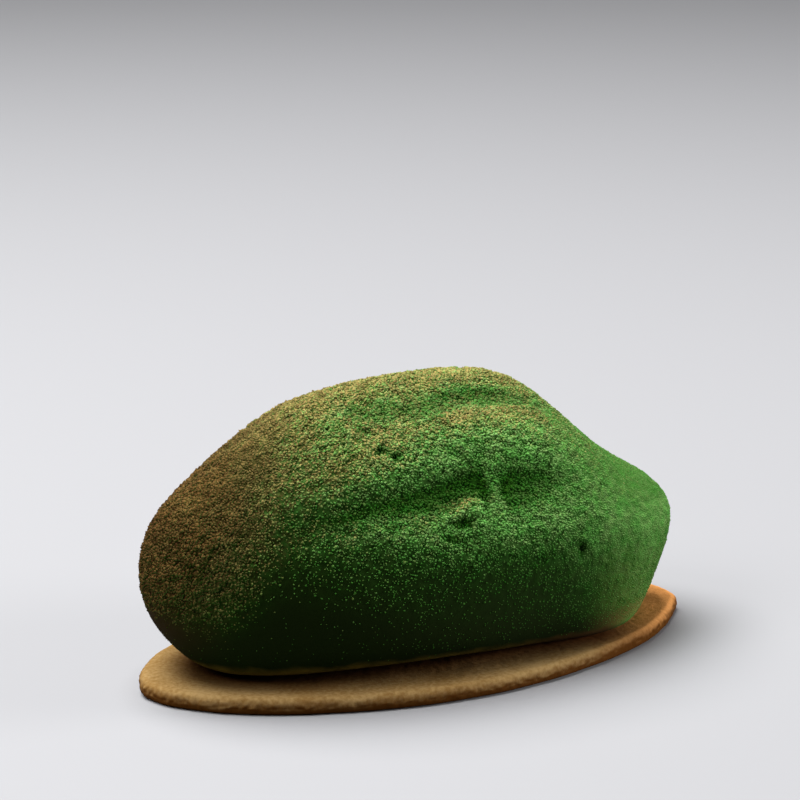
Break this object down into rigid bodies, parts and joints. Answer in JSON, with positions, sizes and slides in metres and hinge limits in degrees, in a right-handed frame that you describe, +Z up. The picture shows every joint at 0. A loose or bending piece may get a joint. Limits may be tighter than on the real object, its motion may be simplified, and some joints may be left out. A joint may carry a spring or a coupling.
{
  "type": "pistachio trompe-loeil dessert",
  "caption": "Small mousse cake in the form of a pistachio kernel, with a sprayed green and brown velvet coat, on a thin sable biscuit with a pointed end.",
  "frame": {"origin": "on the surface that the dessert stands on, under the middle of the biscuit", "axes": "+X along the cake toward its narrow beak, +Z up, and the side with the deeper folds faces -Y"},
  "size_m": [0.101, 0.053, 0.0484],
  "materials": {
    "velvet_coat": "matte",
    "sable": "matte"
  },
  "bodies": {
    "root": {"mousse_body": "velvet_coat", "sable_base": "sable"}
  },
  "joints": []
}
